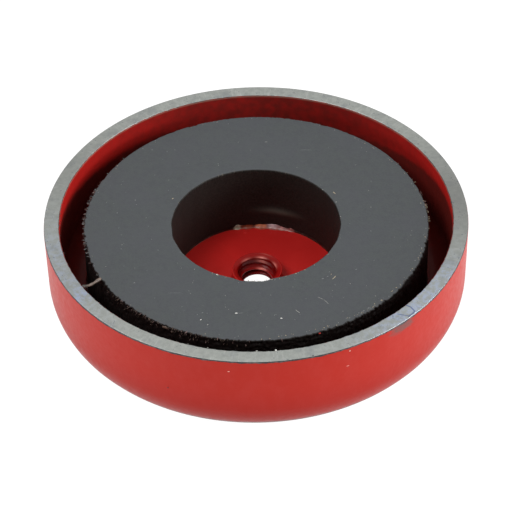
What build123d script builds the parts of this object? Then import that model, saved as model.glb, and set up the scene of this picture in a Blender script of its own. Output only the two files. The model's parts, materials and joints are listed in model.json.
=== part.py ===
"""Round ferrite pot magnet for lifting work: a pressed steel cup with a ring magnet bonded inside it.

Frame: origin at the centre of the closed back, +Z through the open working face, millimetres.
An eye bolt enters the threaded bush from the closed back. The ground rim grips the load.
"""

import os

from build123d import *

os.makedirs("parts", exist_ok=True)

# Steel cup
cup_radius = 66.7 / 2
cup_height = 16.75
wall_draft = 0.25
wall_thickness = 2.4
base_thickness = 3.2
outer_corner_radius = 6.8
inner_corner_radius = 3.3
rim_edge_radius = 0.2

# Ring magnet, its seat and its bond to the cup floor
ring_outer_radius = 27.2
ring_bore_radius = 13.25
ring_recess = 1.5
ring_edge_chamfer = 0.3
bond_thickness = 0.25
bead_height = 0.6
outer_bead_width = 0.45
inner_bead_width = 0.7

# Threaded bush, bored to the minor diameter of a 1/4-20 thread
bush_radius = 4.05
bush_stand = 2.45
bush_top_edge_radius = 0.15
thread_minor_radius = 2.5
top_mouth_radius = 3.85
top_mouth_depth = 0.4
relief_radius = 3.05
relief_length = 0.5
relief_taper = 0.3

# The bush's shank passes through the base, and its tail is swaged out into a countersink in the back
shank_radius = 3.6
flare_depth = 2.4
flare_mouth_radius = 5.35
tail_radius = 6.35

inner_radius = cup_radius - wall_thickness
ring_seat = base_thickness + bond_thickness
ring_top = cup_height - ring_recess
bush_top = base_thickness + bush_stand
relief_top = bush_top - top_mouth_depth
relief_foot = relief_top - relief_length
flare_slope = flare_depth / (flare_mouth_radius - thread_minor_radius)
tail_height = (tail_radius - shank_radius) * flare_slope


# The cup: back, drawn corner, slightly drafted wall and flat rim, with a countersunk hole for the bush
with BuildPart() as steel_cup:
    with BuildSketch(Plane.XZ) as cup_section:
        with BuildLine():
            Polyline(
                (tail_radius, 0),
                (cup_radius - wall_draft, 0),
                (cup_radius, cup_height),
                (inner_radius, cup_height),
                (inner_radius, base_thickness),
                (shank_radius, base_thickness),
                (shank_radius, tail_height),
                close=True,
            )
        make_face()
        fillet(cup_section.vertices().group_by(Axis.Y)[-1], radius=rim_edge_radius)
        back_corner = cup_section.vertices().sort_by_distance((cup_radius, 0))[0]
        fillet(back_corner, radius=outer_corner_radius)
        floor_corner = cup_section.vertices().sort_by_distance((inner_radius, base_thickness))[0]
        fillet(floor_corner, radius=inner_corner_radius)
    revolve(axis=Axis.Z)
steel_cup.part.label = "steel_cup"
export_step(steel_cup.part, "parts/steel_cup.step")


# The ring magnet, standing on its bond and set back from the rim
with BuildPart() as ferrite_ring:
    with BuildSketch(Plane.XY.offset(ring_seat)):
        Circle(ring_outer_radius)
        Circle(ring_bore_radius, mode=Mode.SUBTRACT)
    extrude(amount=ring_top - ring_seat)
    face_edges = ferrite_ring.edges().filter_by(GeomType.CIRCLE).group_by(Axis.Z)[-1]
    chamfer(face_edges, length=ring_edge_chamfer)
ferrite_ring.part.label = "ferrite_ring"
export_step(ferrite_ring.part, "parts/ferrite_ring.step")


# The adhesive: a thin layer under the ring, squeezed out into a bead at each foot
with BuildPart() as adhesive_bond:
    with BuildSketch(Plane.XZ):
        with BuildLine():
            Polyline(
                (ring_bore_radius - inner_bead_width, base_thickness),
                (ring_outer_radius + outer_bead_width, base_thickness),
                (ring_outer_radius, ring_seat + bead_height),
                (ring_outer_radius, ring_seat),
                (ring_bore_radius, ring_seat),
                (ring_bore_radius, ring_seat + bead_height),
                close=True,
            )
        make_face()
    revolve(axis=Axis.Z)
adhesive_bond.part.label = "adhesive_bond"
export_step(adhesive_bond.part, "parts/adhesive_bond.step")


# The bush: a collar standing on the floor, a shank through the base and a swaged tail flush with the back
with BuildPart() as threaded_bush:
    with BuildSketch(Plane.XZ) as bush_section:
        with BuildLine():
            Polyline(
                (flare_mouth_radius, 0),
                (tail_radius, 0),
                (shank_radius, tail_height),
                (shank_radius, base_thickness),
                (bush_radius, base_thickness),
                (bush_radius, bush_top),
                (top_mouth_radius, bush_top),
                (relief_radius, relief_top),
                (relief_radius, relief_foot),
                (thread_minor_radius, relief_foot - relief_taper),
                (thread_minor_radius, flare_depth),
                close=True,
            )
        make_face()
        top_edge = bush_section.vertices().sort_by_distance((bush_radius, bush_top))[0]
        fillet(top_edge, radius=bush_top_edge_radius)
    revolve(axis=Axis.Z)
threaded_bush.part.label = "threaded_bush"
export_step(threaded_bush.part, "parts/threaded_bush.step")
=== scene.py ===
"""The lifting magnet's looks: a painted steel cup, a ring magnet, adhesive and a threaded bush.

Everything is in the row's frame: origin at the middle of the closed back, +Z out of the open
working face. Shapes are worked out in millimetres and scaled to metres as each mesh is made. A
bearing is an angle about Z in degrees: 0 is the front (-Y, where the camera stands), 90 the
right (+X), 180 the far side and 270 the left.
"""

import json
import math

import bmesh
import bpy
import numpy as np
from mathutils import Matrix, Vector


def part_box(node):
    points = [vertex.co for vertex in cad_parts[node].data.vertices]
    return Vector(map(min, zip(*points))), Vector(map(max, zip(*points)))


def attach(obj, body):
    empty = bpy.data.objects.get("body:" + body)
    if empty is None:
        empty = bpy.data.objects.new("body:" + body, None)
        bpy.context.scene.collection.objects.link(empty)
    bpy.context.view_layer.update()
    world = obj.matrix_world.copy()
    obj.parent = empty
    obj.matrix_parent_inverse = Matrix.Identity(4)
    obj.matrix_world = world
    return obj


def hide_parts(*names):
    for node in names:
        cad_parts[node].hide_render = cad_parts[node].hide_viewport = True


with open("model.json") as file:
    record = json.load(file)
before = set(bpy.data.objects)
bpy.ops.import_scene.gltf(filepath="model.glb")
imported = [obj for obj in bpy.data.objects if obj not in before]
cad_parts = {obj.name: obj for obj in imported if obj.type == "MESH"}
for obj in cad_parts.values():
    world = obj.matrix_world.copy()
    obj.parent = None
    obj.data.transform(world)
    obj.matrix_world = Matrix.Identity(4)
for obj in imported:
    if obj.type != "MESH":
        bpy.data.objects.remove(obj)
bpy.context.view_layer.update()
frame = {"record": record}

MM = 0.001
TAU = 2 * math.pi

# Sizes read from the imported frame, in millimetres
cup_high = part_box("steel_cup")[1] / MM
ring_low, ring_high = (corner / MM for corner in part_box("ferrite_ring"))
bond_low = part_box("adhesive_bond")[0] / MM
bush_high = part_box("threaded_bush")[1] / MM
mounts = {mount["name"]: mount for mount in frame["record"]["mounts"]}

CUP_RADIUS = cup_high.x
CUP_HEIGHT = cup_high.z
RING_RADIUS = ring_high.x
RING_SEAT = ring_low.z
RING_TOP = ring_high.z
FLOOR_TOP = bond_low.z
BUSH_TOP = bush_high.z
TAIL_RADIUS = bush_high.x
THREAD_MINOR = mounts["eye_bolt_thread"]["dims"]["r_mm"]

# Steps round the circle in each skin
CUP_TURNS, RING_TURNS, BOND_TURNS, BUSH_TURNS = 960, 1440, 1080, 320

# The cup's section
WALL = 2.4
DRAFT = 0.25
OUTER_CORNER = 6.8
INNER_CORNER = 3.3
RIM_EDGE = 0.16
BURR_HEIGHT = 0.1
BASE_RADIUS = CUP_RADIUS - DRAFT
INNER_WALL = CUP_RADIUS - WALL

# The ring and its bond
RING_BORE = 13.25
RING_CHAMFER = 0.12

# The bush's section: collar, shank and swaged tail, with a countersunk and relieved top
COLLAR_RADIUS = 4.05
SHANK_RADIUS = 3.6
TAIL_HEIGHT = 2.316
FLARE_DEPTH = 2.4
FLARE_MOUTH = 5.35
COLLAR_EDGE = 0.14
TOP_MOUTH = 3.85
MOUTH_DEPTH = 0.36
RELIEF_RADIUS = 3.02
RELIEF_DEPTH = 1.5

# The thread, 1/4-20, its crests and roots rounded by a coat of paint
THREAD_PITCH = 1.27
THREAD_DEPTH = 0.64
THREAD_PHASE = 0.53
PAINT_COAT = 0.07
RUN_OUT_COAT = 0.05
RUN_OUT = (2.45, 3.0)


# ---------------------------------------------------------------- outlines and skins


def line(start, end, step):
    """Points from start up to, but not including, end, about step apart."""
    start, end = np.array(start, float), np.array(end, float)
    count = max(1, round(np.linalg.norm(end - start) / step))
    return [tuple(start + (end - start) * i / count) for i in range(count)]


def arc(centre, radius, start, end, step):
    """Points round an arc from start degrees up to, but not including, end degrees."""
    first, last = math.radians(start), math.radians(end)
    count = max(3, round(abs(last - first) * radius / step))
    turns = [first + (last - first) * i / count for i in range(count)]
    return [(centre[0] + radius * math.cos(t), centre[1] + radius * math.sin(t)) for t in turns]


def revolved(outline, count):
    """Radius, height and angle of every point of a closed outline turned about Z in count steps."""
    radius, height = np.array(outline).T
    shape = (len(radius), count)
    return (
        np.broadcast_to(radius[:, None], shape).copy(),
        np.broadcast_to(height[:, None], shape).copy(),
        np.broadcast_to(np.arange(count) * TAU / count, shape),
    )


def skin(name, radius, height, angle, masks=None, tint=None):
    """A closed mesh over a grid that wraps both ways, with masks and tint as point attributes."""
    rows, turns = radius.shape
    places = np.stack([radius * np.cos(angle), radius * np.sin(angle), height], -1)
    index = np.arange(rows * turns).reshape(rows, turns)
    along = np.roll(index, -1, 1)
    corners = np.stack([index, along, np.roll(along, -1, 0), np.roll(index, -1, 0)], -1)
    return finished(name, places.reshape(-1, 3), corners.reshape(-1, 4).tolist(), masks, tint)


def finished(name, places, faces, masks=None, tint=None):
    """Makes a mesh of points in millimetres, turns its faces outwards and puts it in the scene."""
    mesh = bpy.data.meshes.new(name)
    mesh.from_pydata((np.asarray(places) * MM).tolist(), [], faces)
    for key, values in (masks or {}).items():
        attribute = mesh.attributes.new(key, "FLOAT", "POINT")
        attribute.data.foreach_set("value", np.asarray(values, np.float32).ravel())
    if tint is not None:
        attribute = mesh.attributes.new("tint", "FLOAT_COLOR", "POINT")
        attribute.data.foreach_set("color", np.asarray(tint, np.float32).ravel())
    shape = bmesh.new()
    shape.from_mesh(mesh)
    bmesh.ops.recalc_face_normals(shape, faces=shape.faces)
    shape.to_mesh(mesh)
    shape.free()
    mesh.shade_smooth()
    piece = bpy.data.objects.new(name, mesh)
    bpy.context.scene.collection.objects.link(piece)
    return piece


# ---------------------------------------------------------------- unevenness, all seeded


def waves(angle, lowest, highest, seed):
    """A smooth random curve of about -1 to 1 round the circle, with whole numbers of waves."""
    random = np.random.default_rng(seed)
    total = np.zeros_like(angle, dtype=float)
    for count in range(lowest, highest + 1):
        total += random.normal() * np.sin(count * angle + random.uniform(0, TAU))
    return total / math.sqrt(highest - lowest + 1)


def jagged(angle, teeth, seed):
    """A random zigzag from 0 to 1 round the circle, with so many corners."""
    corners = np.random.default_rng(seed).random(teeth)
    corners = np.append(corners, corners[0])
    return np.interp((angle % TAU) / TAU * teeth, np.arange(teeth + 1), corners)


def smooth_step(low, high, value):
    """0 below low, 1 above high, and a smooth rise between."""
    t = np.clip((value - low) / (high - low), 0, 1)
    return t * t * (3 - 2 * t)


def smooth_max(first, second, softness):
    """The larger of two values, with the corner where they cross rounded off."""
    return 0.5 * (first + second + np.sqrt((first - second) ** 2 + softness**2))


def hump(distance, width):
    """1 at no distance, falling smoothly to almost nothing at twice the width."""
    return np.exp(-((distance / width) ** 2))


def off_bearing(angle, bearing):
    """How far each angle is from a bearing, in degrees, either side."""
    return (np.degrees(angle) + 90 - bearing + 180) % 360 - 180


def at_bearing(bearing, radius, height):
    """The point at a bearing, a radius and a height."""
    turn = math.radians(bearing)
    return np.array([radius * math.sin(turn), -radius * math.cos(turn), height])


# ---------------------------------------------------------------- the pieces


def make_cup():
    """The drawn cup: paint stops just short of a ground rim, along a ragged edge."""
    outline = (
        line((TAIL_RADIUS, 0), (BASE_RADIUS - OUTER_CORNER, 0), 1.0)
        + arc((BASE_RADIUS - OUTER_CORNER, OUTER_CORNER), OUTER_CORNER, -90, 0, 0.5)
        + line((BASE_RADIUS, OUTER_CORNER), (BASE_RADIUS, CUP_HEIGHT - 2.0), 0.5)
        + line((BASE_RADIUS, CUP_HEIGHT - 2.0), (BASE_RADIUS, CUP_HEIGHT - RIM_EDGE), 0.07)
        + arc((BASE_RADIUS - RIM_EDGE, CUP_HEIGHT - RIM_EDGE), RIM_EDGE, 0, 90, 0.05)
        + line((BASE_RADIUS - RIM_EDGE, CUP_HEIGHT), (INNER_WALL + RIM_EDGE, CUP_HEIGHT), 0.2)
        + arc((INNER_WALL + RIM_EDGE, CUP_HEIGHT - RIM_EDGE), RIM_EDGE, 90, 180, 0.05)
        + line((INNER_WALL, CUP_HEIGHT - RIM_EDGE), (INNER_WALL, CUP_HEIGHT - 1.0), 0.06)
        + line((INNER_WALL, CUP_HEIGHT - 1.0), (INNER_WALL, FLOOR_TOP + INNER_CORNER), 0.6)
        + arc((INNER_WALL - INNER_CORNER, FLOOR_TOP + INNER_CORNER), INNER_CORNER, 0, -90, 0.5)
        + line((INNER_WALL - INNER_CORNER, FLOOR_TOP), (RING_BORE, FLOOR_TOP), 2.0)
        + line((RING_BORE, FLOOR_TOP), (SHANK_RADIUS, FLOOR_TOP), 0.2)
        + line((SHANK_RADIUS, FLOOR_TOP), (SHANK_RADIUS, TAIL_HEIGHT), 0.4)
        + line((SHANK_RADIUS, TAIL_HEIGHT), (TAIL_RADIUS, 0), 0.8)
    )
    radius, height, angle = revolved(outline, CUP_TURNS)
    outside = radius > INNER_WALL + WALL / 2
    inner_wall = (np.abs(radius - INNER_WALL) < RIM_EDGE) & (height > FLOOR_TOP + INNER_CORNER)
    radius += np.where(outside & (height > 0.01), DRAFT * height / CUP_HEIGHT, 0)
    depth = CUP_HEIGHT - height

    # the paint's edge wanders below the rim's two corners, and the bare steel lies a coat deeper
    coat = 0.04
    outer_edge = 0.14 + 0.07 * np.abs(waves(angle, 5, 60, 11)) + 0.14 * jagged(angle, 420, 12) ** 2
    inner_edge = 0.01 + 0.02 * np.abs(waves(angle, 5, 60, 13)) + 0.08 * jagged(angle, 500, 14) ** 2
    bare = 1 - smooth_step(0, 0.08, depth - np.where(outside, outer_edge, inner_edge))
    radius -= np.where(outside, 1, -1) * coat * bare * (depth > 0.01)

    # grinding has left small teeth of burr along the rim's inner corner
    burr = jagged(angle, 540, 16) ** 2 * (0.4 + 0.6 * smooth_step(-0.4, 0.8, -np.sin(angle)))
    radius -= np.where(inner_wall & (depth < 0.2), BURR_HEIGHT * burr, 0)

    # the drawn wall is never quite true, and a nib of paint stands on the floor by the far glue
    middle = np.sin(math.pi * np.clip(height / CUP_HEIGHT, 0, 1))
    radius += np.where(outside, 0.03 * waves(angle, 2, 7, 15) * middle, 0)
    on_floor = (np.abs(height - FLOOR_TOP) < 0.01) & (radius < RING_BORE)
    nib = hump(off_bearing(angle, 188.2), 1.6) * hump(radius - 12.1, 0.3)
    height += np.where(on_floor, 0.16 * nib, 0)

    # magnet dust has settled in the gap, least at the far side; the darkening with depth, reaching
    # higher on the near side, is partly painted shade
    near_side = smooth_step(40, 95, np.abs(off_bearing(angle, 185)))
    dust_and_shade = smooth_step(3.4 - 2.2 * near_side, 5.5 - 2.8 * near_side, depth)
    # painted shade: the far inner wall is darkened all the way down
    dust_and_shade = np.maximum(dust_and_shade, 0.7 * hump(off_bearing(angle, 175), 60))
    dust_and_shade *= radius > RING_RADIUS

    # and painted shade in the crease round the collar's foot, at the far side
    crease = hump(radius - (COLLAR_RADIUS + 0.4), 0.3)
    dust_and_shade = np.maximum(dust_and_shade, 0.75 * hump(off_bearing(angle, 170), 45) * crease)

    # on the rim: painted shade on stretches at the right and the left, where the grinding lines
    # reflect less light, and bluish stains at the front corners
    rim_side_shade = 0.25 * hump(off_bearing(angle, 296), 16) + 0.65 * hump(off_bearing(angle, 97), 22)
    rim_side_shade += 0.4 * hump(off_bearing(angle, 248), 24)
    stain = 0.8 * hump(off_bearing(angle, 292), 18) + hump(off_bearing(angle, 303), 3)
    stain += 1.2 * hump(off_bearing(angle, 48), 18) + 0.5 * hump(off_bearing(angle, 64), 3)

    masks = {
        "bare": bare,
        "corner": smooth_step(0.005, 0.05, depth),
        # painted shade: the outer wall darkens towards its foot
        "under": outside * (0.25 + 0.75 * (1 - smooth_step(0.5, 12, height))),
        "outer": 0.85 * outside,
        "tan": inner_wall * hump(depth - 0.22, 0.1),
        "dust_and_shade": dust_and_shade * ~outside,
        "rub": hump(off_bearing(angle, 40.5), 4.5) * hump(depth - 0.9, 1.0) * outside,
        "rim_side_shade": rim_side_shade,
        "stain": stain,
    }
    return skin("steel_cup_skin", radius, height, angle, masks)


def make_ring():
    """The ring magnet: a flat ground top, and sintered edges that are chipped and toothed."""
    bore, outer, top, edge = RING_BORE, RING_RADIUS, RING_TOP, RING_CHAMFER
    outline = (
        line((bore, RING_SEAT), (outer, RING_SEAT), 3.0)
        + line((outer, RING_SEAT), (outer, top - 3.0), 1.0)
        + line((outer, top - 3.0), (outer, top - edge), 0.2)
        + line((outer, top - edge), (outer - edge, top), 0.06)
        + line((outer - edge, top), (outer - 1.0, top), 0.15)
        + line((outer - 1.0, top), (bore + 1.0, top), 1.2)
        + line((bore + 1.0, top), (bore + edge, top), 0.12)
        + line((bore + edge, top), (bore, top - edge), 0.06)
        + line((bore, top - edge), (bore, top - 1.0), 0.15)
        + line((bore, top - 1.0), (bore, RING_SEAT), 0.3)
    )
    radius, height, angle = revolved(outline, RING_TURNS)
    depth = top - height

    # teeth along the outer edge: fine at the far side, coarse at the left, the front and the right
    coarse = 0.4 + 0.7 * smooth_step(-0.7, 0.5, -np.sin(angle)) + 0.2 * waves(angle, 2, 9, 21)
    teeth = jagged(angle, 360, 22) * jagged(angle, 800, 23)
    chips = np.clip(jagged(angle, 150, 24) - 0.72, 0, 1) * 1.6
    layer = np.floor(depth / 0.22)  # crumbs change from one layer of grains to the next
    crumbs = jagged(angle + 1.7 * layer, 760, 27) * jagged(angle + 2.9 * layer, 300, 28)
    near_outer = smooth_step(outer - 0.8, outer - 0.05, radius)
    cut = near_outer * coarse * np.exp(-depth / 0.5) * (0.5 * teeth + 0.35 * chips)
    radius -= cut + near_outer * 0.4 * crumbs * smooth_step(0.1, 0.5, depth)
    height -= smooth_step(outer - 0.35, outer - 0.05, radius + cut) * (depth < 0.2) * 0.12 * chips

    # the bore's edge is cleaner, with small chips, and one long worn stretch at the front
    near_bore = 1 - smooth_step(bore + 0.05, bore + 0.6, radius)
    nicks = np.clip(jagged(angle, 620, 25) - 0.6, 0, 1) * np.exp(-depth / 0.5)
    worn = smooth_step(14, 8, np.abs(off_bearing(angle, 357))) * np.exp(-depth / 0.8)
    radius += near_bore * (0.22 * nicks + 0.02 * waves(angle, 3, 30, 26) + 0.22 * worn)
    height -= near_bore * (depth < 0.2) * 0.12 * worn

    # the press left a low ridge round the far right of the bore
    ridge = hump(off_bearing(angle, 164), 17) * hump(height - 6.8, 0.75)
    radius -= np.where(radius < bore + 0.4, 0.2 * ridge, 0)

    broken_and_highlight = np.clip(near_outer * np.exp(-depth / 0.3) * (0.35 * teeth + chips), 0, 1)
    broken_and_highlight = np.maximum(broken_and_highlight, near_bore * np.clip(nicks * 1.8, 0, 1))
    # painted highlight: the ridge on the bore's wall is lightened where it catches the light
    broken_and_highlight = np.maximum(broken_and_highlight, (0.25 + 0.32 * ridge) * (radius < bore + 0.4))
    mid_ring = 20.0
    masks = {"broken_and_highlight": broken_and_highlight, "outer": radius > mid_ring}
    return skin("ferrite_ring_skin", radius, height, angle, masks)


# Where the bond squeezed out at the foot of the bore: bearing, spread in degrees, thickness, how
# far it also ran over the floor, and tint
SQUEEZE_OUT = (
    (193.5, 2.6, 0.65, 0.0, (0.36, 0.31, 0.23, 1)),
    (186.5, 4.5, 0.45, 0.35, (0.20, 0.040, 0.016, 1)),
    (176.3, 4.5, 0.60, 0.45, (0.52, 0.17, 0.09, 1)),
    (167.5, 4.5, 0.55, 0.30, (0.52, 0.36, 0.37, 1)),
    (160.5, 4.5, 0.40, 0.20, (0.45, 0.22, 0.21, 1)),
    (154.5, 2.5, 0.30, 0.0, (0.30, 0.10, 0.09, 1)),
)
THIN_BOND = (0.035, 0.012, 0.008, 1)
AMBER_FILM = (0.24, 0.035, 0.014, 1)
STRAND_TINT = (0.14, 0.105, 0.085, 1)
BEAD_ROWS = 12


def make_adhesive():
    """The bond under the ring and the bead it squeezed out, thick only at the far foot."""
    turns = np.arange(BOND_TURNS) * TAU / BOND_TURNS
    thick = np.zeros(len(turns))
    spill = np.zeros(len(turns))
    tint = np.tile(THIN_BOND, (len(turns), 1))
    for bearing, spread, amount, run, colour in SQUEEZE_OUT:
        share = hump(off_bearing(turns, bearing), spread)
        thick += amount * share
        spill += run * share
        tint += (np.array(colour) - tint) * smooth_step(0.1, 0.75, share)[:, None]
    uneven = 0.07 + 0.03 * waves(turns, 4, 40, 31)
    uneven += 0.8 * thick * (1 + 0.08 * waves(turns, 40, 110, 33))
    reach = np.clip(0.5 * uneven + spill, 0.03, 0.9)
    climb = np.clip(0.26 + 0.85 * uneven, 0.27, 1.05)
    outer_foot = RING_RADIUS + 0.3 + 0.1 * waves(turns, 3, 30, 32)
    rounds = np.linspace(0, math.pi / 2, BEAD_ROWS)
    level = np.ones(len(turns))
    radius = [RING_BORE - reach * (1 - math.sin(t)) for t in rounds] + [RING_BORE * level]
    radius += [RING_RADIUS * level, RING_RADIUS * level, outer_foot]
    height = [FLOOR_TOP + climb * (1 - math.cos(t)) for t in rounds] + [RING_SEAT * level]
    height += [RING_SEAT * level, (RING_SEAT + 0.5) * level, FLOOR_TOP * level]
    angle = np.broadcast_to(turns, (len(radius), len(turns)))

    # the bead thins to an amber film where it ran over the floor
    tints = np.tile(tint, (len(radius), 1, 1))
    film = 1 - smooth_step(0.1, 0.8, np.linspace(0, 1, BEAD_ROWS))
    film = film[:, None] * np.clip(3 * spill, 0, 0.85)
    tints[:BEAD_ROWS] += (np.array(AMBER_FILM) - tints[:BEAD_ROWS]) * film[..., None]
    return skin("adhesive_bond_skin", np.array(radius), np.array(height), angle, tint=tints)


def make_bush():
    """The threaded bush: a painted collar with a real helical thread, softened by the paint."""
    outline = (
        line((FLARE_MOUTH, 0), (TAIL_RADIUS, 0), 0.3)
        + line((TAIL_RADIUS, 0), (SHANK_RADIUS, TAIL_HEIGHT), 0.5)
        + line((SHANK_RADIUS, TAIL_HEIGHT), (SHANK_RADIUS, FLOOR_TOP), 0.3)
        + line((SHANK_RADIUS, FLOOR_TOP), (COLLAR_RADIUS, FLOOR_TOP), 0.2)
        + line((COLLAR_RADIUS, FLOOR_TOP), (COLLAR_RADIUS, BUSH_TOP - COLLAR_EDGE), 0.15)
        + arc((COLLAR_RADIUS - COLLAR_EDGE, BUSH_TOP - COLLAR_EDGE), COLLAR_EDGE, 0, 90, 0.05)
    )
    solid_rows = len(outline)
    outline += line((THREAD_MINOR, BUSH_TOP), (THREAD_MINOR, 0), 0.035)
    radius, height, angle = revolved(outline, BUSH_TURNS)

    # outside, the paint gathers in a soft foot where the collar stands on the floor
    inside = np.arange(len(outline))[:, None] >= solid_rows
    foot = np.clip(1 - (height - FLOOR_TOP) / 0.9, 0, 1) ** 2 * (height >= FLOOR_TOP)
    radius += np.where(inside | (radius < COLLAR_RADIUS - 0.1), 0, 0.3 * foot)

    # inside: coned mouth, short relief, helical groove, then the flare towards the back
    turn = height / THREAD_PITCH - angle / TAU + THREAD_PHASE
    off_crest = np.abs((turn + 0.5) % 1 - 0.5)
    groove = THREAD_DEPTH * smooth_step(0.04, 0.46, off_crest)
    run_out = smooth_step(*RUN_OUT, height)
    thread = THREAD_MINOR - PAINT_COAT - RUN_OUT_COAT * (1 - run_out) + groove * run_out
    relief_foot = BUSH_TOP - RELIEF_DEPTH
    mouth_heights = (0, FLARE_DEPTH, relief_foot - 0.15, relief_foot)
    mouth = np.interp(height, mouth_heights, (FLARE_MOUTH, 2.3, 2.3, RELIEF_RADIUS))
    cone = TOP_MOUTH - (BUSH_TOP - height) * (TOP_MOUTH - RELIEF_RADIUS) / MOUTH_DEPTH
    mouth = smooth_max(mouth, cone, 0.2)
    bore = smooth_max(thread, mouth, 0.08) - 0.02

    # painted shade: the paint is darkened in the cone, the grooves and the lower thread, where they
    # are hidden from the light, and outside along the collar's top at the far side
    shade = 0.62 + 0.3 * smooth_step(2.45, 2.8, bore) - 0.35 * smooth_step(3.0, 3.5, bore)
    far_edge_shade = 0.5 * hump(off_bearing(angle, 185), 45) * (height > BUSH_TOP - 0.3)
    shade = np.maximum(shade, 0.95 * (1 - smooth_step(3.0, 3.5, height)))
    shade = np.where(inside | (radius < 3), shade, far_edge_shade)

    # painted highlights, kept in the worn mask: the paint is lightened along the mouth's inner edge
    # and one stretch of the thread's crest, where they catch the light
    lip = hump(height - (BUSH_TOP - MOUTH_DEPTH + 0.02), 0.1)
    far, right = hump(off_bearing(angle, 166), 13), hump(off_bearing(angle, 113), 13)
    lip *= far + 0.7 * right + 0.5 * hump(off_bearing(angle, 214), 15)
    crest = hump(off_crest - 0.1, 0.1) * hump(off_bearing(angle, 163), 15)
    crest *= smooth_step(3.2, 3.5, height)
    masks = {"shade": shade, "worn": np.where(inside, lip + crest, 0)}
    return skin("threaded_bush_skin", np.where(inside, bore, radius), height, angle, masks)


def make_strand():
    """A strand of adhesive across the gap, from the cup's wall, where it is dark, to the ring."""
    start = Vector((-26.7, -15.4, CUP_HEIGHT - 0.35))
    end = Vector((-24.1, -12.4, RING_TOP - 0.05))
    steps, sides = 24, 12
    sag, bend = 0.2, 0.1
    along = (end - start).normalized()
    across = along.cross(Vector((0, 0, 1))).normalized()
    up = across.cross(along)
    places = []
    for i in range(steps + 1):
        t = i / steps
        middle = start.lerp(end, t) + Vector((0, 0, -sag * math.sin(math.pi * t)))
        middle += across * bend * math.sin(5.0 * t)
        thick = 0.2 + 0.1 * abs(2 * t - 1) ** 3 + 0.03 * math.sin(17 * t)
        places += [middle + (across * math.cos(a) + up * math.sin(a)) * thick
                   for a in (TAU * j / sides for j in range(sides))]
    faces = []
    for first in range(0, steps * sides, sides):
        for j in range(sides):
            after = (j + 1) % sides
            faces.append((first + j, first + after, first + sides + after, first + sides + j))
    faces += [tuple(range(sides)), tuple(steps * sides + j for j in range(sides))]
    tint = np.tile(STRAND_TINT, (len(places), 1))
    paler = 0.3 + 0.7 * smooth_step(0, 0.45, np.linspace(0, 1, steps + 1))
    tint[:, :3] *= np.repeat(paler, sides)[:, None]
    return finished("adhesive_strand", places, faces, tint=tint)


WHITE_CHIP = (0.75, 0.75, 0.70, 1)
PALE_CHIP = (0.33, 0.33, 0.30, 1)
GREY_CHIP = (0.20, 0.21, 0.21, 1)
BEIGE_CHIP = (0.38, 0.32, 0.22, 1)
BROWN_CHIP = (0.07, 0.045, 0.03, 1)
PINK_CHIP = (0.15, 0.09, 0.08, 1)

# Chips and fibres on the magnet's face: from, to, width, tint
FACE_CHIPS = (
    ((9.16, -17.61), (10.05, -18.20), 0.09, PALE_CHIP),
    ((10.05, -18.20), (10.77, -19.25), 0.08, PALE_CHIP),
    ((5.73, -20.43), (6.32, -21.12), 0.14, PALE_CHIP),
    ((11.59, -13.57), (12.08, -12.89), 0.16, BEIGE_CHIP),
    ((9.90, -13.51), (10.20, -13.40), 0.14, GREY_CHIP),
    ((10.69, -12.96), (10.95, -12.90), 0.12, GREY_CHIP),
    ((11.32, -12.52), (11.45, -12.40), 0.14, BEIGE_CHIP),
    ((3.41, -22.21), (3.61, -22.21), 0.26, WHITE_CHIP),
    ((-3.42, -20.88), (-3.18, -20.88), 0.26, WHITE_CHIP),
    ((-3.20, -20.88), (-2.23, -20.84), 0.09, GREY_CHIP),
    ((-8.72, -22.20), (-8.60, -22.10), 0.22, WHITE_CHIP),
    ((-7.65, -23.34), (-7.58, -23.20), 0.16, PALE_CHIP),
    ((-9.27, -21.06), (-9.10, -20.90), 0.12, GREY_CHIP),
    ((-8.51, -20.64), (-8.30, -20.60), 0.12, GREY_CHIP),
    ((-7.76, -20.78), (-7.65, -20.75), 0.10, GREY_CHIP),
    ((-13.72, -15.95), (-11.43, -16.02), 0.05, GREY_CHIP),
    ((-18.97, -13.48), (-18.80, -13.40), 0.14, GREY_CHIP),
    ((-21.18, -5.46), (-21.00, -5.50), 0.14, GREY_CHIP),
    ((15.21, -11.49), (15.35, -11.40), 0.14, GREY_CHIP),
    ((17.89, -2.47), (18.05, -2.47), 0.14, GREY_CHIP),
    ((1.70, 20.42), (2.10, 20.42), 0.12, PALE_CHIP),
    ((7.39, 18.14), (9.34, 18.08), 0.07, GREY_CHIP),
    ((-5.99, 15.00), (-5.85, 15.00), 0.14, GREY_CHIP),
    ((-16.75, 18.99), (-16.60, 18.99), 0.14, GREY_CHIP),
    ((-22.04, 3.26), (-21.90, 3.26), 0.14, GREY_CHIP),
    ((12.45, 7.25), (12.75, 6.85), 0.22, BEIGE_CHIP),
    ((-13.30, 6.40), (-13.10, 6.60), 0.16, BEIGE_CHIP),
    ((-6.25, -11.95), (-6.15, -11.95), 0.24, WHITE_CHIP),
)

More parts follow.
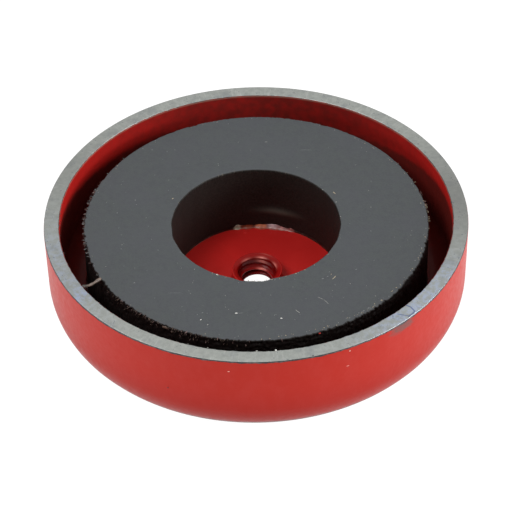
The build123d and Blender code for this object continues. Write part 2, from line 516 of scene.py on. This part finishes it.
# Specks elsewhere: bearing, radius, height, length, width, tint
OTHER_CHIPS = (
    (340.2, 30.92, CUP_HEIGHT, 0.2, 0.12, PALE_CHIP),
    (345.8, 30.90, CUP_HEIGHT, 0.2, 0.12, PALE_CHIP),
    (359.4, 30.90, CUP_HEIGHT, 0.3, 0.25, PALE_CHIP),
    (4.7, 30.90, CUP_HEIGHT, 0.3, 0.25, WHITE_CHIP),
    (19.8, 27.18, RING_TOP - 0.15, 0.4, 0.25, (0.45, 0.03, 0.02, 1)),
    (328.8, 27.12, RING_TOP - 0.45, 1.1, 0.5, (0.11, 0.075, 0.055, 1)),
    (331.3, 27.10, RING_TOP - 0.8, 0.6, 0.3, (0.08, 0.055, 0.045, 1)),
    (352.2, 33.32, 14.7, 0.35, 0.14, (0.75, 0.42, 0.36, 1)),
    (23.4, 33.30, 13.0, 0.5, 0.12, (0.72, 0.30, 0.26, 1)),
    (23.9, 33.34, 16.0, 0.25, 0.25, (0.70, 0.40, 0.34, 1)),
    (335.5, 33.23, 9.0, 0.3, 0.3, (0.18, 0.01, 0.012, 1)),
    (7.4, 33.10, CUP_HEIGHT, 0.3, 0.12, (0.12, 0.12, 0.13, 1)),
    (14.0, 33.10, CUP_HEIGHT, 0.3, 0.2, (0.06, 0.06, 0.07, 1)),
)


UP = np.array([0.0, 0.0, 1.0])


class Flecks:
    """Many small irregular grains gathered into one mesh."""

    RINGS, SIDES = 5, 8

    def __init__(self, seed):
        self.random = np.random.default_rng(seed)
        self.places, self.faces, self.tints = [], [], []

    def add(self, middle, along, normal, length, width, tint):
        """A flattened grain half sunk in the surface: pole to pole along its length."""
        along = along / np.linalg.norm(along)
        normal = normal - along * np.dot(normal, along)
        normal = normal / np.linalg.norm(normal)
        across = np.cross(normal, along)
        first = len(self.places)
        self.places.append(middle - along * length / 2)
        for ring in range(1, self.RINGS):
            t = math.pi * ring / self.RINGS
            for side in range(self.SIDES):
                a = TAU * side / self.SIDES
                swell = math.sin(t) * self.random.uniform(0.75, 1.2)
                offset = across * math.cos(a) * width / 2 + normal * math.sin(a) * width / 3
                self.places.append(middle - along * math.cos(t) * length / 2 + offset * swell)
        self.places.append(middle + along * length / 2)
        last = len(self.places) - 1
        loops = [first + 1 + ring * self.SIDES for ring in range(self.RINGS - 1)]
        for side in range(self.SIDES):
            after = (side + 1) % self.SIDES
            self.faces.append((first, loops[0] + side, loops[0] + after))
            for low, high in zip(loops, loops[1:]):
                self.faces.append((low + side, high + side, high + after, low + after))
            self.faces.append((last, loops[-1] + after, loops[-1] + side))
        self.tints += [tint] * (last + 1 - first)

    def piece(self, name):
        return finished(name, self.places, self.faces, tint=self.tints)


def scatter_dust(flecks, random, count, nearest, furthest, bearing, spread, sizes, tints):
    """Grains on the magnet's face, between two radii and gathered about a bearing."""
    for _ in range(count):
        radius = math.sqrt(random.uniform(nearest**2, furthest**2))
        place = at_bearing(random.normal(bearing, spread), radius, RING_TOP)
        along = at_bearing(random.uniform(0, 360), 1, 0)
        size = random.uniform(*sizes)
        tint = tints[random.integers(len(tints))]
        flecks.add(place, along, UP, size * random.uniform(1, 1.8), size, tint)


def scatter_slivers(flecks, random, count, radius, top, drop, bearing, spread, way, length, tints):
    """Slivers on an edge, from a top height down; way is 1 or -1 for outwards or inwards, or 0."""
    for _ in range(count):
        outward = at_bearing(random.normal(bearing, spread), 1, 0)
        along = outward * way + UP * random.uniform(-0.4, 0.4)
        place = outward * (radius + random.uniform(-0.1, 0.1))
        place = place + UP * (top - drop * random.random() ** 2)
        tint = tints[random.integers(len(tints))]
        size = length * random.uniform(0.6, 1.3), random.uniform(0.05, 0.1)
        flecks.add(place, along, UP, *size, tint)


# How many grains, from and to which radius, about which bearing, how spread, from and to which
# size, and tints
DUST = (
    (130, RING_BORE + 0.3, RING_RADIUS - 0.4, 0, 100, (0.04, 0.10), (GREY_CHIP, PALE_CHIP)),
    (70, RING_RADIUS - 1.0, RING_RADIUS - 0.35, 45, 25, (0.07, 0.15), (BEIGE_CHIP, GREY_CHIP)),
    (60, RING_RADIUS - 0.7, RING_RADIUS - 0.35, 150, 70, (0.06, 0.13), (BEIGE_CHIP, GREY_CHIP)),
    (30, RING_BORE + 0.1, RING_BORE + 0.5, 10, 50, (0.06, 0.16), (PALE_CHIP, BEIGE_CHIP)),
)

# How many slivers, at which radius, from which height down how far, about which bearing, how
# spread, which way, how long, and tints
DARK_TINTS = (BROWN_CHIP, BROWN_CHIP, PINK_CHIP)
GRAIN_TINTS = (BROWN_CHIP, BROWN_CHIP, GREY_CHIP)
SLIVERS = (
    (60, RING_RADIUS, RING_TOP - 0.05, 0, 268, 15, 1, 0.5, (PINK_CHIP, PINK_CHIP, GREY_CHIP)),
    (30, RING_RADIUS, RING_TOP - 0.05, 0, 95, 12, 1, 0.4, (PINK_CHIP, BEIGE_CHIP)),
    (22, INNER_WALL, CUP_HEIGHT - 0.08, 0, 272, 8, -1, 0.45, (PINK_CHIP,)),
    (150, RING_RADIUS - 0.1, RING_TOP, 1.2, 325, 17, 1, 0.6, DARK_TINTS),
    (260, RING_RADIUS - 0.1, RING_TOP, 1.6, 0, 40, 0, 0.25, GRAIN_TINTS),
)


def make_chips():
    """Loose grains and fibres: those that stand out one by one, then a scatter of fine ones."""
    flecks = Flecks(41)
    for start, end, width, tint in FACE_CHIPS:
        start, end = np.array([*start, RING_TOP]), np.array([*end, RING_TOP])
        length = np.linalg.norm(end - start) + width * 0.7
        flecks.add((start + end) / 2, end - start, UP, length, width * 0.75, tint)
    for bearing, radius, height, length, width, tint in OTHER_CHIPS:
        outward = at_bearing(bearing, 1, 0)
        normal = UP if height == CUP_HEIGHT else outward
        place = at_bearing(bearing, radius, height)
        flecks.add(place, np.cross(outward, UP), normal, length, width, tint)

    random = np.random.default_rng(42)
    for row in DUST:
        scatter_dust(flecks, random, *row)
    for row in SLIVERS:
        scatter_slivers(flecks, random, *row)
    return flecks.piece("loose_chips")


# ---------------------------------------------------------------- materials


class Shader:
    """A material's node tree, with short ways to add and join nodes."""

    def __init__(self, name):
        self.material = bpy.data.materials.new(name)
        self.material.use_nodes = True
        self.tree = self.material.node_tree
        self.surface = self.tree.nodes["Principled BSDF"]

    def node(self, kind, inputs=None, **settings):
        made = self.tree.nodes.new("ShaderNode" + kind)
        for key, value in settings.items():
            setattr(made, key, value)
        for key, value in (inputs or {}).items():
            self.set(made.inputs[key], value)
        return made

    def set(self, socket, value):
        if isinstance(value, bpy.types.NodeSocket):
            self.tree.links.new(value, socket)
        else:
            socket.default_value = value

    def finish(self, **values):
        """Sets the surface's sockets, named with underscores for spaces."""
        for key, value in values.items():
            self.set(self.surface.inputs[key.replace("_", " ")], value)
        return self.material

    def place(self, stretch=(1, 1, 1)):
        """Object position in millimetres, stretched."""
        where = self.node("TexCoord").outputs["Object"]
        inputs = {"Vector": where, "Scale": tuple(s / MM for s in stretch)}
        return self.node("Mapping", inputs).outputs["Vector"]

    def noise(self, vector, scale, detail=3.0, rough=0.5):
        inputs = {"Vector": vector, "Scale": scale, "Detail": detail, "Roughness": rough}
        return self.node("TexNoise", inputs).outputs["Fac"]

    def attribute(self, name, output="Fac"):
        return self.node("Attribute", attribute_name=name).outputs[output]

    def mask(self, name, amount):
        """A mask made with the mesh, times an amount."""
        return self.math("MULTIPLY", self.attribute(name), amount)

    def math(self, operation, first, second=0.0, clamp=False):
        made = self.node("Math", {0: first, 1: second}, operation=operation)
        made.use_clamp = clamp
        return made.outputs[0]

    def vector(self, operation, first, second, output="Vector"):
        made = self.node("VectorMath", {0: first, 1: second}, operation=operation)
        return made.outputs[output]

    def remap(self, value, low, high, start=0.0, end=1.0):
        """A smooth rise or fall from start to end as the value goes from low to high."""
        inputs = {"Value": value, "From Min": low, "From Max": high}
        inputs |= {"To Min": start, "To Max": end}
        return self.node("MapRange", inputs, interpolation_type="SMOOTHSTEP").outputs["Result"]

    def mix(self, share, first, second):
        made = self.node("Mix", {0: share, 6: first, 7: second}, data_type="RGBA")
        return made.outputs[2]

    def mix_value(self, share, first, second):
        made = self.node("Mix", {0: share, 2: first, 3: second}, data_type="FLOAT")
        return made.outputs[0]

    def bump(self, height, distance):
        inputs = {"Height": height, "Distance": distance * MM, "Strength": 1.0}
        return self.node("Bump", inputs).outputs["Normal"]

    def streaks(self, around, outward):
        """A position for streaks that run outwards: fast round the axis, slow along the radius."""
        flat = self.vector("MULTIPLY", self.place(), (1, 1, 0))
        length = self.node("VectorMath", {0: flat}, operation="LENGTH").outputs["Value"]
        unit = self.node("VectorMath", {0: flat}, operation="NORMALIZE").outputs["Vector"]
        spun = self.vector("MULTIPLY", unit, (around, around, 0))
        slow = self.node("CombineXYZ", {2: self.math("MULTIPLY", length, outward)}).outputs[0]
        return self.vector("ADD", spun, slow)

    def stroke(self, points, width):
        """1 within width of a line through points (millimetres, in plan), fading out to 0."""
        flat = self.vector("MULTIPLY", self.place(), (1, 1, 0))
        nearest = 10.0
        for start, end in zip(points, points[1:]):
            start, end = Vector((*start, 0)), Vector((*end, 0))
            run = end - start
            from_start = self.vector("SUBTRACT", flat, start)
            share = self.vector("DOT_PRODUCT", from_start, run / run.length_squared, "Value")
            share = self.math("ADD", share, 0.0, clamp=True)
            reached = self.node("VectorMath", {0: run, "Scale": share}, operation="SCALE")
            distance = self.vector("DISTANCE", from_start, reached.outputs[0], "Value")
            nearest = self.math("MINIMUM", distance, nearest)
        return self.remap(nearest, width * 0.6, width * 1.2, 1, 0)


# Paint, from clean to dirty, with colours for painted shade and painted highlights
RED = (0.48, 0.0145, 0.0120, 1)
DARK_RED = (0.43, 0.012, 0.0105, 1)
OUTER_RED = (0.485, 0.0165, 0.004, 1)
FADED_RED = (0.52, 0.04, 0.03, 1)
# a painted highlight for the bush's edges
HIGHLIGHT_RED = (0.95, 0.28, 0.23, 1)
SHADED_RED = (0.12, 0.001, 0.001, 1)
FOOT_SHADE_RED = (0.28, 0.004, 0.001, 1)
DUST_AND_SHADE_RED = (0.085, 0.014, 0.011, 1)
RUBBED_RED = (0.15, 0.085, 0.08, 1)
THIN_PAINT = (0.34, 0.2, 0.15, 1)

# Ground steel, what is on it, and its painted shade
STEEL, PALE_STEEL = (0.385, 0.405, 0.38, 1), (0.46, 0.48, 0.45, 1)
SCRATCHED_STEEL = (0.58, 0.59, 0.57, 1)
CLOUDED_STEEL = (0.29, 0.31, 0.315, 1)
STAINED_STEEL = (0.46, 0.53, 0.68, 1)
SHADED_STEEL = (0.22, 0.22, 0.21, 1)
PEN_BLUE = (0.10, 0.15, 0.33, 1)
DARK_SPECK = (0.09, 0.10, 0.14, 1)
DARK_OUTLINE = (0.07, 0.065, 0.07, 1)

# The magnet: its ground face, its pressed sides, its broken edges and a painted highlight
FACE, PALE_FACE = (0.052, 0.057, 0.061, 1), (0.064, 0.069, 0.074, 1)
GREENISH_FACE, BLUISH_FACE = (0.066, 0.076, 0.073, 1), (0.064, 0.067, 0.077, 1)
BLACK_SIDE, BROWN_SIDE, BLACK = (0.004, 0.003, 0.002, 1), (0.016, 0.012, 0.010, 1), (0, 0, 0, 1)
BROKEN_AND_HIGHLIGHT_TINT = (0.18, 0.16, 0.13, 1)

# Blue pen strokes that cross the rim at the front right, in plan
PEN_LOOP = ((22.30, -21.49), (23.03, -21.97), (23.57, -22.88), (23.25, -23.40), (22.60, -24.05))
PEN_LINE = ((20.98, -23.46), (22.61, -23.95))


def paint_colour(shader):
    cloud = shader.noise(shader.place(), 0.12, 4)
    return shader.mix(shader.remap(cloud, 0.35, 0.7), RED, DARK_RED)


def red_paint():
    """The bush's paint: glossier, with painted shade in the grooves and painted highlights on the
    edges.
    """
    shader = Shader("red_paint")
    peel = shader.noise(shader.place(), 1.6, 2)
    colour = shader.mix(shader.attribute("shade"), paint_colour(shader), SHADED_RED)
    # painted highlights, from the worn mask
    worn = shader.math("MULTIPLY", shader.attribute("worn"), 0.8, clamp=True)
    return shader.finish(
        Base_Color=shader.mix(worn, colour, HIGHLIGHT_RED),
        Roughness=shader.remap(peel, 0.2, 0.8, 0.18, 0.26),
        Specular_IOR_Level=0.1,
        Normal=shader.bump(peel, 0.02),
    )


def cup_paint(shader):
    """Cloudy paint, warmer and blotched outside: then dust and painted shade in the gap, a rub, a
    thin edge, and painted shade at the foot.
    """
    colour = shader.mix(shader.attribute("outer"), paint_colour(shader), OUTER_RED)
    blotch = shader.noise(shader.place((1, 1, 0.6)), 0.4, 5, 0.65)
    blotch = shader.mask("outer", shader.remap(blotch, 0.4, 0.66, 0, 0.3))
    colour = shader.mix(blotch, colour, FADED_RED)
    drift = shader.remap(shader.noise(shader.place(), 0.8, 4), 0.2, 0.8, 0.38, 0.62)
    # dust, with painted shade in the deep gap, on the far inner wall and in the collar's crease
    dust_and_shade = shader.remap(shader.mask("dust_and_shade", drift), 0.0, 0.5, 0, 0.85)
    colour = shader.mix(dust_and_shade, colour, DUST_AND_SHADE_RED)
    rub = shader.mask("rub", shader.noise(shader.place((1, 1, 2)), 1.1, 5))
    colour = shader.mix(shader.remap(rub, 0.10, 0.4, 0, 0.9), colour, RUBBED_RED)
    colour = shader.mix(shader.mask("tan", 0.6), colour, THIN_PAINT)
    # painted shade at the foot of the outer wall
    return shader.mix(shader.mask("under", 0.85), colour, FOOT_SHADE_RED)


def rim_steel(shader, lines):
    """Mottled ground steel: radial scratches, stains, pen strokes, specks, painted shade on
    stretches of the rim and a dark outline of painted shade on the corners.
    """
    cloud = shader.noise(shader.place(), 0.35, 5, 0.65)
    mottle = shader.noise(shader.place(), 1.3, 5, 0.7)
    colour = shader.mix(shader.remap(mottle, 0.35, 0.65), STEEL, PALE_STEEL)
    colour = shader.mix(shader.remap(lines, 0.52, 0.7, 0, 0.5), colour, SCRATCHED_STEEL)
    colour = shader.mix(shader.remap(cloud, 0.5, 0.68, 0, 0.6), colour, CLOUDED_STEEL)
    stain = shader.mask("stain", shader.remap(mottle, 0.42, 0.6, 0.15, 1))
    stain = shader.math("MULTIPLY", stain, 0.7, clamp=True)
    colour = shader.mix(stain, colour, STAINED_STEEL)
    pen = shader.math("MAXIMUM", shader.stroke(PEN_LOOP, 0.12), shader.stroke(PEN_LINE, 0.09))
    colour = shader.mix(shader.math("MULTIPLY", pen, 0.75), colour, PEN_BLUE)
    # painted shade on the rim's right and left stretches
    colour = shader.mix(shader.attribute("rim_side_shade"), colour, SHADED_STEEL)
    specks = shader.remap(shader.noise(shader.place(), 2.6, 2), 0.66, 0.72, 0, 0.6)
    colour = shader.mix(specks, colour, DARK_SPECK)
    # painted shade: the rim's rounded corners are darkened into a dark outline
    corner = shader.mask("corner", shader.remap(mottle, 0.3, 0.6, 0.75, 1))
    return shader.mix(corner, colour, DARK_OUTLINE)


def painted_steel():
    """Satin red paint with faint orange peel, and bare ground steel where the bare mask says so."""
    shader = Shader("painted_steel")
    bare = shader.remap(shader.attribute("bare"), 0.4, 0.6)
    peel = shader.noise(shader.place(), 1.2, 2)
    lines = shader.noise(shader.streaks(90, 0.4), 1.0, 4, 0.6)
    paint_rough = shader.remap(peel, 0.2, 0.8, 0.34, 0.44)
    steel_rough = shader.remap(lines, 0.2, 0.8, 0.4, 0.55)
    grain = shader.mix_value(bare, shader.math("MULTIPLY", peel, 2.0), lines)
    return shader.finish(
        Base_Color=shader.mix(bare, cup_paint(shader), rim_steel(shader, lines)),
        Metallic=bare,
        Roughness=shader.mix_value(bare, paint_rough, steel_rough),
        Specular_IOR_Level=0.18,
        Normal=shader.bump(grain, 0.012),
    )


def hard_ferrite():
    """Blue-grey ground face, brown-black pressed sides, darkened further outside as painted shade,
    pale broken edges, and a painted highlight on the bore's ridge.
    """
    shader = Shader("hard_ferrite")
    facing = shader.node("NewGeometry").outputs["Normal"]
    upward = shader.remap(shader.node("SeparateXYZ", {0: facing}).outputs[2], 0.75, 0.97)
    grain = shader.noise(shader.place(), 3.5, 3, 0.7)
    blotch = shader.noise(shader.place(), 0.9, 3)
    cloud = shader.noise(shader.place(), 0.12, 3)
    grainy = shader.remap(grain, 0.3, 0.7)
    face = shader.mix(grainy, FACE, PALE_FACE)
    face = shader.mix(shader.remap(blotch, 0.35, 0.65, 0, 0.4), face, GREENISH_FACE)
    face = shader.mix(shader.remap(cloud, 0.35, 0.65, 0, 0.35), face, BLUISH_FACE)
    side = shader.mix(grainy, BLACK_SIDE, BROWN_SIDE)
    # painted shade: the ring's outer side, in the gap, is darkened further towards black
    side = shader.mix(shader.mask("outer", 0.7), side, BLACK)
    broken_and_highlight = shader.remap(shader.attribute("broken_and_highlight"), 0.25, 0.8, 0, 0.6)
    return shader.finish(
        Base_Color=shader.mix(broken_and_highlight, shader.mix(upward, side, face), BROKEN_AND_HIGHLIGHT_TINT),
        Roughness=shader.mix_value(upward, 0.6, 0.55),
        Specular_IOR_Level=0.3,
        Normal=shader.bump(grain, 0.02),
    )


def tinted(name, roughness, variation):
    """A material that takes its colour from the mesh's tint, clouded a little."""
    shader = Shader(name)
    cloud = shader.noise(shader.place(), 1.8, 4)
    shade = shader.remap(cloud, 0.3, 0.7, 1 - variation, 1 + variation)
    inputs = {0: shader.attribute("tint", "Color"), "Scale": shade}
    return shader.finish(
        Base_Color=shader.node("VectorMath", inputs, operation="SCALE").outputs[0],
        Roughness=roughness,
        Normal=shader.bump(cloud, 0.05),
    )


def white_floor():
    """A white table lit from within: white under the magnet, and white through its hole."""
    shader = Shader("white_floor")
    return shader.finish(
        Base_Color=(0.1, 0.1, 0.1, 1),
        Roughness=1.0,
        Specular_IOR_Level=0.0,
        Emission_Color=(1, 1, 1, 1),
        Emission_Strength=1.0,
    )


# ---------------------------------------------------------------- the set


def make_floor():
    reach = 4000
    corners = [(-reach, -reach, 0), (reach, -reach, 0), (reach, reach, 0), (-reach, reach, 0)]
    floor = finished("floor", corners, [(0, 1, 2, 3)])
    floor.data.materials.append(white_floor())


# Square area lights aimed at the magnet: name, direction, size in metres, surface brightness
LIGHT_DISTANCE = 0.6
LIGHTS = (
    ("right", (0.85, -0.2, 0.40), 0.3, 8.5),
    ("right_low", (0.9, -0.4, 0.13), 0.25, 4.5),
    ("left_low", (-0.9, -0.3, 0.15), 0.25, 3.5),
    ("left", (-0.45, -0.3, 0.84), 0.22, 11.0),
)


def make_light(name, direction, size, brightness):
    light = bpy.data.lights.new(name, "AREA")
    light.size = size
    light.energy = brightness * math.pi * size**2
    lamp = bpy.data.objects.new(name, light)
    lamp.location = Vector(direction).normalized() * LIGHT_DISTANCE
    lamp.rotation_euler = (-lamp.location).to_track_quat("-Z", "Y").to_euler()
    bpy.context.scene.collection.objects.link(lamp)


# The room's light rises with a direction's Y and again with its Z: axis, from and to which
# part of the direction, and from and to which brightness
ROOM_RAMPS = ((1, -0.8, 0.5, 0.08, 0.7), (2, 0.6, 0.97, 0.0, 0.35))


def make_world():
    """A pale room: brightest overhead and at the far side, dimmer on the camera's side."""
    world = bpy.data.worlds.new("room")
    world.use_nodes = True
    tree = world.node_tree
    where = tree.nodes.new("ShaderNodeTexCoord").outputs["Generated"]
    parts = tree.nodes.new("ShaderNodeSeparateXYZ")
    tree.links.new(where, parts.inputs[0])
    total = tree.nodes.new("ShaderNodeMath")
    for slot, (axis, *limits) in enumerate(ROOM_RAMPS):
        ramp = tree.nodes.new("ShaderNodeMapRange")
        for key, value in zip(("From Min", "From Max", "To Min", "To Max"), limits):
            ramp.inputs[key].default_value = value
        tree.links.new(parts.outputs[axis], ramp.inputs["Value"])
        tree.links.new(ramp.outputs[0], total.inputs[slot])
    tree.links.new(total.outputs[0], tree.nodes["Background"].inputs["Strength"])
    tree.nodes["Background"].inputs["Color"].default_value = (1, 1, 1, 1)
    bpy.context.scene.world = world


def make_camera():
    """A long lens at the front, 40 degrees up, rolled a little and aimed just below the rim."""
    distance = 12.066 * CUP_RADIUS * MM
    elevation = math.radians(40.33)
    dip = math.radians(0.895)
    roll = math.radians(-1.26)
    pan = math.radians(0.022)
    place = Vector((0, -math.cos(elevation), math.sin(elevation))) * distance
    place.z += CUP_HEIGHT * MM
    pitch = math.pi / 2 - elevation - dip
    data = bpy.data.cameras.new("camera")
    data.lens = 180.0
    data.sensor_width = 36.0
    data.clip_start = 0.01
    camera = bpy.data.objects.new("camera", data)
    turn = Matrix.Rotation(pan, 4, "Z") @ Matrix.Rotation(pitch, 4, "X")
    turn = turn @ Matrix.Rotation(roll, 4, "Z")
    camera.matrix_world = Matrix.Translation(place) @ turn
    bpy.context.scene.collection.objects.link(camera)
    bpy.context.scene.camera = camera


def dress(piece, material, node=None):
    """Puts a piece's material on it, and lets it stand for its CAD node if it has one."""
    piece.data.materials.append(material)
    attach(piece, "root")
    if node:
        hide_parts(node)


adhesive = tinted("cured_adhesive", 0.35, 0.25)
dress(make_cup(), painted_steel(), "steel_cup")
dress(make_ring(), hard_ferrite(), "ferrite_ring")
dress(make_adhesive(), adhesive, "adhesive_bond")
dress(make_strand(), adhesive)
dress(make_bush(), red_paint(), "threaded_bush")
dress(make_chips(), tinted("chip_dust", 0.6, 0.15))

make_floor()
make_world()
for row in LIGHTS:
    make_light(*row)
make_camera()
bpy.context.scene.view_settings.view_transform = "Standard"
